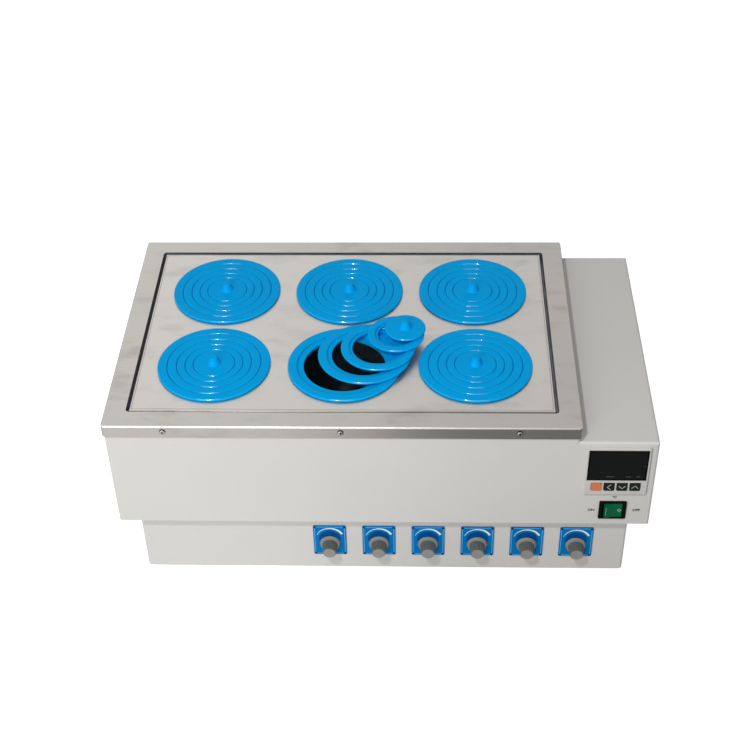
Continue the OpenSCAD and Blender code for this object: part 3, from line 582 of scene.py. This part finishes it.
def cut_cross(screw, radius, face_y):
    """Cuts two crossed slots into a screw's face."""
    for size in ((radius * 1.15, radius * 0.24), (radius * 0.24, radius * 1.15)):
        bpy.ops.object.select_all(action="DESELECT")
        bpy.ops.mesh.primitive_cube_add(size=1, location=(0, face_y, 0))
        cutter = bpy.context.object
        cutter.scale = (size[0], radius * 0.45, size[1])
        bpy.ops.object.transform_apply(location=True, rotation=True, scale=True)
        bpy.ops.object.select_all(action="DESELECT")
        screw.select_set(True)
        bpy.context.view_layer.objects.active = screw
        cut = screw.modifiers.new("slot", "BOOLEAN")
        cut.operation = "DIFFERENCE"
        cut.object = cutter
        bpy.ops.object.modifier_apply(modifier=cut.name)
        bpy.data.objects.remove(cutter)


def bar(name, length, width, thick, bevel):
    """Flat rounded bar along X, lying in the XZ plane."""
    bpy.ops.mesh.primitive_cube_add(size=1)
    piece = bpy.context.object
    piece.scale = (length, thick, width)
    bpy.ops.object.transform_apply(location=True, rotation=True, scale=True)
    begin(name)
    bpy.ops.mesh.select_all(action="SELECT")
    bpy.ops.mesh.bevel(offset=bevel, segments=2)
    bpy.ops.object.mode_set(mode="OBJECT")
    return piece


def turned(piece, matrix):
    piece.data.transform(matrix)
    return piece


def merged(name, pieces):
    bpy.ops.object.select_all(action="DESELECT")
    for piece in pieces:
        piece.select_set(True)
    bpy.context.view_layer.objects.active = pieces[0]
    if len(pieces) > 1:
        bpy.ops.object.join()
    joined = bpy.context.object
    joined.name = name
    joined.data.name = name
    return finish_shape(joined)


def chevron(name, place, turn):
    """Two rounded strokes that meet in a point; a turn of zero points up."""
    stroke = 6.2 * MM
    width = 0.9 * MM
    lean = math.radians(48)
    strokes = []
    for side in (-1, 1):
        piece = bar(name, stroke, width, PRINT_T, PRINT_T * 0.3)
        reach = stroke / 2 - width / 2
        turned(piece, Matrix.Translation((side * reach, 0, 0)))
        turned(piece, Matrix.Rotation(side * lean, 4, "Y"))
        strokes.append(piece)
    sign = merged(name, strokes)
    rise = stroke / 2 * math.sin(lean)
    turned(sign, Matrix.Translation((0, 0, rise)))
    turned(sign, Matrix.Rotation(turn, 4, "Y"))
    turned(sign, Matrix.Translation(place))
    return sign


def lettering(name, words, height, place):
    """Flat printed words on an upright face, centred on a place."""
    bpy.ops.object.select_all(action="DESELECT")
    bpy.ops.object.text_add()
    text = bpy.context.object
    text.data.body = words
    text.data.offset = 0.04
    text.data.extrude = PRINT_T / 2 / height
    text.data.align_x = "CENTER"
    text.data.align_y = "CENTER"
    bpy.ops.object.convert(target="MESH")
    text = bpy.context.object
    text.name = name
    text.data.name = name
    low = Vector(map(min, *[v.co for v in text.data.vertices]))
    high = Vector(map(max, *[v.co for v in text.data.vertices]))
    size = height / (high.y - low.y)
    turned(text, Matrix.Translation(-(low + high) / 2))
    turned(text, Matrix.Rotation(math.pi / 2, 4, "X") @ Matrix.Scale(size, 4))
    turned(text, Matrix.Translation(place))
    return text


plate_low, plate_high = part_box("dial_plates")
plate_w = plate_high.x - plate_low.x - 5 * dial_pitch
plate_h = plate_high.z - plate_low.z
plate_z = (plate_low.z + plate_high.z) / 2
plate_y = plate_low.y
arc_rise = 9.3 * MM
arc_right = 0.6 * MM
line_in = 1.5 * MM
screw_in = 2.1 * MM

arc_places = [(s.x + arc_right, plate_y, s.z + arc_rise) for s in spindles]
settle(copy_to(speed_arc(), "speed_arcs", arc_places), "bath", inks["white"])

line_places = [(s.x, plate_y, plate_z) for s in spindles]
line = border_line(plate_w - 2 * line_in, plate_h - 2 * line_in)
settle(copy_to(line, "dial_border_lines", line_places), "bath", inks["pale"])

corner_places = [(s.x + sx * (plate_w / 2 - screw_in), plate_y, plate_z + sz * (plate_h / 2 - screw_in))
                 for s in spindles for sx in (-1, 1) for sz in (-1, 1)]
corner_screw = cross_screw("corner_screw", 1.4 * MM, 0.7 * MM, -1)
settle(copy_to(corner_screw, "dial_corner_screws", corner_places), "bath", corner_steel)

# Key signs: left, down and up
key_turns = {"shift_key": -math.pi / 2, "down_key": math.pi, "up_key": 0.0}
for key, turn in key_turns.items():
    low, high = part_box(key)
    spot = Vector(((low.x + high.x) / 2, low.y - PRINT_T / 2, (low.z + high.z) / 2))
    settle(chevron(f"{key}_sign", spot, turn), key, inks["grey"])

# Words on the housing's front
front_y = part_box("upper_housing")[0].y
switch_low, switch_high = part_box("switch_body")
switch_mid = (switch_low + switch_high) / 2
word_h = 3.9 * MM
word_z = switch_mid.z - 1 * MM
on_gap = 8.6 * MM
off_gap = 12 * MM
degree_right = 1 * MM
degree_gap = 6.2 * MM
words = {
    "on_word": ("ON", Vector((switch_low.x - on_gap, front_y, word_z))),
    "off_word": ("OFF", Vector((switch_high.x + off_gap, front_y, word_z))),
    "degree_word": ("°C", Vector((switch_mid.x + degree_right, front_y, switch_high.z + degree_gap))),
}
for name, (text, place) in words.items():
    settle(lettering(name, text, word_h, place), "bath", inks["dark"])

# Unlit marks in the display window: place across, place up and length
window_low, window_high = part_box("display_window")
window_size = window_high - window_low
marks = []
for across, up, length in ((0.386, 0.13, 8.4), (0.7, 0.13, 5.4), (0.864, 0.13, 4.7), (0.954, 0.486, 1.3)):
    mark = bar("display_mark", length * MM, 1.1 * MM, PRINT_T, PRINT_T * 0.3)
    turned(mark, Matrix.Translation((window_low.x + across * window_size.x, window_low.y - PRINT_T / 2,
                                     window_low.z + up * window_size.z)))
    marks.append(mark)
settle(merged("display_marks", marks), "bath", inks["dim"])

# Signs on the rocker's two faces, which slope to a crease in its middle
axis_in = 3 * MM
crease_out = 4.9 * MM
off_reach = 7.0 * MM
on_reach = -8.7 * MM
rest_tilt = math.radians(9)
face_lean = math.atan2(1.3, 10.15)
rocker_axis = Matrix.Translation((switch_mid.x, front_y + axis_in, switch_mid.z))
rocker_axis = rocker_axis @ Matrix.Rotation(rest_tilt, 4, "Z")


def rocker_face(reach):
    """Puts a sign on the rocker, reach to the right of its crease."""
    lean = -math.copysign(face_lean, reach)
    depth = -crease_out - abs(reach) * math.tan(face_lean)
    return rocker_axis @ Matrix.Translation((reach, depth, 0)) @ Matrix.Rotation(lean, 4, "Z")


bpy.ops.mesh.primitive_torus_add(major_radius=1.75 * MM, minor_radius=0.2 * MM,
                                 major_segments=48, minor_segments=8)
off_ring = bpy.context.object
upright = Matrix.Rotation(math.pi / 2, 4, "X") @ Matrix.Scale(0.3, 4, (0, 0, 1))
turned(off_ring, rocker_face(off_reach) @ upright)
settle(merged("rocker_off_sign", [off_ring]), "power_rocker", inks["white"])
# The on mark: a pale bar on the rocker's left end, partly a printed I mark, partly a painted highlight on the
# raised end's edge.
on_mark_glint = bar("rocker_on_mark_glint", 0.8 * MM, 12 * MM, 0.16 * MM, 0.04 * MM)
turned(on_mark_glint, rocker_face(on_reach))
settle(merged("rocker_on_mark_glint", [on_mark_glint]), "power_rocker", inks["mint"])

# Index line on each knob, at its off position
index_turn = math.radians(150)
index_back = 13.9 * MM
index_r = 10.2 * MM
for n, spindle in zip(DIALS, spindles):
    knob_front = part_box(f"speed_knob_{n}")[0].y
    index = bar(f"knob_{n}_index", 1.0 * MM, 2.6 * MM, 0.5 * MM, 0.1 * MM)
    turned(index, Matrix.Translation((0, knob_front + index_back, index_r)))
    turned(index, Matrix.Rotation(-index_turn, 4, "Y"))
    turned(index, Matrix.Translation((spindle.x, 0, spindle.z)))
    settle(merged(f"knob_{n}_index", [index]), f"speed_knob_{n}", inks["white"])

# Screws in the mains inlet's flange
inlet_low, inlet_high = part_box("power_inlet")
inlet_mid = (inlet_low + inlet_high) / 2
inlet_head = 1.2 * MM
inlet_reach = 20 * MM
inlet_face = inlet_high.y - inlet_head
inlet_places = [(inlet_mid.x + side * inlet_reach, inlet_face, inlet_mid.z) for side in (-1, 1)]
inlet_screw = cross_screw("inlet_screw", 2.8 * MM, inlet_head, 1)
settle(copy_to(inlet_screw, "inlet_screws", inlet_places), "bath", finishes["screw_steel"])


# Studio


def softbox(name, place, aim, size, power):
    lamp = bpy.data.lights.new(name, "AREA")
    lamp.shape = "DISK"
    lamp.size = size
    lamp.energy = power
    holder = bpy.data.objects.new(name, lamp)
    bpy.context.scene.collection.objects.link(holder)
    holder.location = place
    holder.rotation_euler = (Vector(aim) - Vector(place)).to_track_quat("-Z", "Y").to_euler()


aim_point = (0, 0, 0.18)
softbox("key_softbox", (-0.4, -1.27, 1.95), aim_point, 0.14, 17)
softbox("fill_softbox", (-0.69, -1.97, 0.89), aim_point, 1.2, 16)

bpy.ops.mesh.primitive_plane_add(size=8)
floor = bpy.context.object
floor.name = "studio_floor"
cloth = Finish("studio_floor")
camera_ray, glossy_ray, passing_ray = cloth.node(
    "ShaderNodeLightPath", ["Is Camera Ray", "Is Glossy Ray", "Is Transmission Ray"])
dark_side = cloth.ramp(cloth.axes()[0], -0.14, 0.12)
cloth_tone = cloth.mix(dark_side, (0.82, 0.82, 0.82, 1), (0.36, 0.36, 0.36, 1))
cloth.surface(Base_Color=cloth_tone, Roughness=0.9, Specular_IOR_Level=0.0)
white = camera_ray.larger(passing_ray) * 0.95
white = white.larger(glossy_ray * (1 - dark_side) * 0.22)
glow = cloth.node("ShaderNodeEmission", ["Emission"], {}, {"Color": (1, 1, 1, 1), "Strength": white})
both = cloth.node("ShaderNodeAddShader", ["Shader"], {},
                  {0: Socket(cloth, cloth.shader.outputs["BSDF"]), 1: glow})
cloth.feed(cloth.tree.nodes["Material Output"].inputs["Surface"], both)
floor.data.materials.append(cloth.material)

world = bpy.data.worlds.new("studio")
bpy.context.scene.world = world
world.use_nodes = True
sky = world.node_tree
path = sky.nodes.new("ShaderNodeLightPath")
level = sky.nodes.new("ShaderNodeMapRange")
level.inputs["To Min"].default_value = 0.34
level.inputs["To Max"].default_value = 1.0
seen_rays = sky.nodes.new("ShaderNodeMath")
seen_rays.operation = "MAXIMUM"
sky.links.new(path.outputs["Is Camera Ray"], seen_rays.inputs[0])
sky.links.new(path.outputs["Is Glossy Ray"], seen_rays.inputs[1])
sky.links.new(seen_rays.outputs[0], level.inputs["Value"])
sky.links.new(level.outputs["Result"], sky.nodes["Background"].inputs["Strength"])
sky.nodes["Background"].inputs["Color"].default_value = (1, 1, 1, 1)

bpy.context.scene.view_settings.view_transform = "Standard"

# Camera, fitted to the straight edges in the photograph
camera_data = bpy.data.cameras.new("camera")
camera_data.lens = 67.67
camera_data.sensor_width = 36
camera = bpy.data.objects.new("camera", camera_data)
bpy.context.scene.collection.objects.link(camera)
camera.location = (0.04745, -1.32969, 1.29504)
camera.rotation_euler = [math.radians(a) for a in (49.942, 1.090, 1.608)]
bpy.context.scene.camera = camera

bpy.context.view_layer.update()
